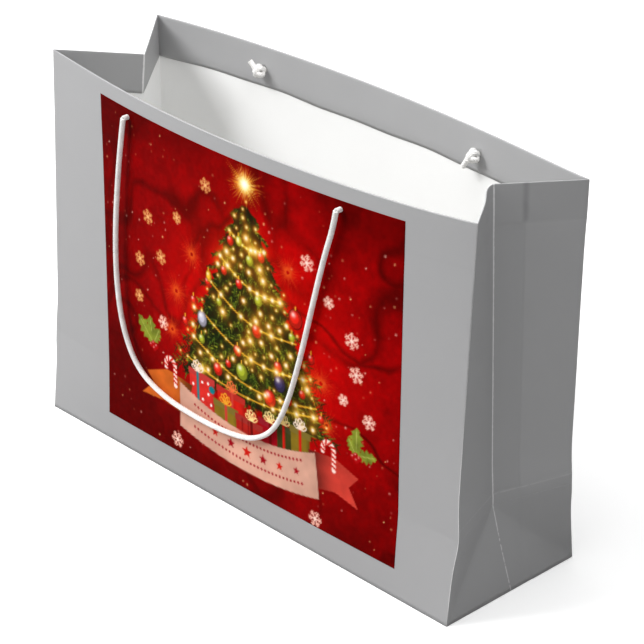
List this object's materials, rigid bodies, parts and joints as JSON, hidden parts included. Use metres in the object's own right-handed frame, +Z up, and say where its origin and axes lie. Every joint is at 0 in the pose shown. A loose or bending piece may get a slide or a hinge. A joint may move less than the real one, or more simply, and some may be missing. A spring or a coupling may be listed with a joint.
{
  "type": "gift bag",
  "caption": "Landscape paper gift bag with V-folded gussets, a turned hem around the mouth, a loose base board and knotted rope handles.",
  "frame": {"origin": "middle of the underside, on the surface that the bag stands on", "axes": "+X runs along the wide front from left to right, +Y from the front to the back, +Z up"},
  "size_m": [0.33, 0.1113, 0.228],
  "materials": {
    "printed_paper": "satin coated printed paper",
    "plain_paper": "satin coated paper, light grey outside and white inside",
    "card": "uncoated card",
    "rope": "twisted white cord"
  },
  "bodies": {
    "base": {"base_board": "card", "bottom_flap_front": "plain_paper", "bottom_flap_back": "plain_paper", "bottom_flap_left": "plain_paper", "bottom_flap_right": "plain_paper", "front_lower_band": "plain_paper", "back_lower_band": "plain_paper", "left_side_triangle": "plain_paper", "right_side_triangle": "plain_paper", "left_front_corner_facet": "plain_paper", "left_back_corner_facet": "plain_paper", "right_front_corner_facet": "plain_paper", "right_back_corner_facet": "plain_paper"},
    "front_wall": {"front_wall": "printed_paper", "front_stiffener": "card", "front_hem": "plain_paper", "front_left_knot": "rope", "front_right_knot": "rope"},
    "front_handle": {"front_handle": "rope"},
    "back_wall": {"back_wall": "printed_paper", "back_stiffener": "card", "back_hem": "plain_paper", "back_left_knot": "rope", "back_right_knot": "rope"},
    "back_handle": {"back_handle": "rope"},
    "left_gusset_front": {"left_gusset_front": "plain_paper", "left_gusset_front_hem": "plain_paper"},
    "left_gusset_back": {"left_gusset_back": "plain_paper", "left_gusset_back_hem": "plain_paper"},
    "right_gusset_front": {"right_gusset_front": "plain_paper", "right_gusset_front_hem": "plain_paper"},
    "right_gusset_back": {"right_gusset_back": "plain_paper", "right_gusset_back_hem": "plain_paper", "seam_tab": "plain_paper"}
  },
  "joints": [
    {"name": "front_wall_lean", "type": "hinge", "parent": "base", "child": "front_wall", "pos_m": [0, -0.0475, 0.05], "axis": [-1, 0, 0], "range_deg": [0, 10], "stiffness_Nm_per_rad": 0.5},
    {"name": "front_handle_swing", "type": "hinge", "parent": "front_wall", "child": "front_handle", "pos_m": [0, -0.05325, 0.214], "axis": [-1, 0, 0], "range_deg": [0, 180]},
    {"name": "back_wall_lean", "type": "hinge", "parent": "base", "child": "back_wall", "pos_m": [0, 0.0475, 0.05], "axis": [1, 0, 0], "range_deg": [0, 10]},
    {"name": "back_handle_swing", "type": "hinge", "parent": "back_wall", "child": "back_handle", "pos_m": [0, 0.05482, 0.214], "axis": [1, 0, 0], "range_deg": [0, 180]},
    {"name": "left_gusset_front_fold", "type": "hinge", "parent": "front_wall", "child": "left_gusset_front", "pos_m": [-0.165, -0.0437, 0.05], "axis": [0, -0.0421, -0.9991], "range_deg": [0, 40.47]},
    {"name": "left_gusset_back_fold", "type": "hinge", "parent": "back_wall", "child": "left_gusset_back", "pos_m": [-0.165, 0.0437, 0.05], "axis": [0, -0.0028, 1], "range_deg": [0, 40.47]},
    {"name": "right_gusset_front_fold", "type": "hinge", "parent": "front_wall", "child": "right_gusset_front", "pos_m": [0.165, -0.0437, 0.05], "axis": [0, 0.0421, 0.9991], "range_deg": [0, 44.39]},
    {"name": "right_gusset_back_fold", "type": "hinge", "parent": "back_wall", "child": "right_gusset_back", "pos_m": [0.165, 0.0437, 0.05], "axis": [0, 0.0028, -1], "range_deg": [0, 44.39]}
  ],
  "couplings": [
    {"joint": "back_wall_lean", "follows": "front_wall_lean", "ratio": 1},
    {"joint": "left_gusset_front_fold", "follows": "front_wall_lean", "ratio": 4.0461},
    {"joint": "left_gusset_back_fold", "follows": "front_wall_lean", "ratio": 4.0461},
    {"joint": "right_gusset_front_fold", "follows": "front_wall_lean", "ratio": 4.438},
    {"joint": "right_gusset_back_fold", "follows": "front_wall_lean", "ratio": 4.438}
  ]
}
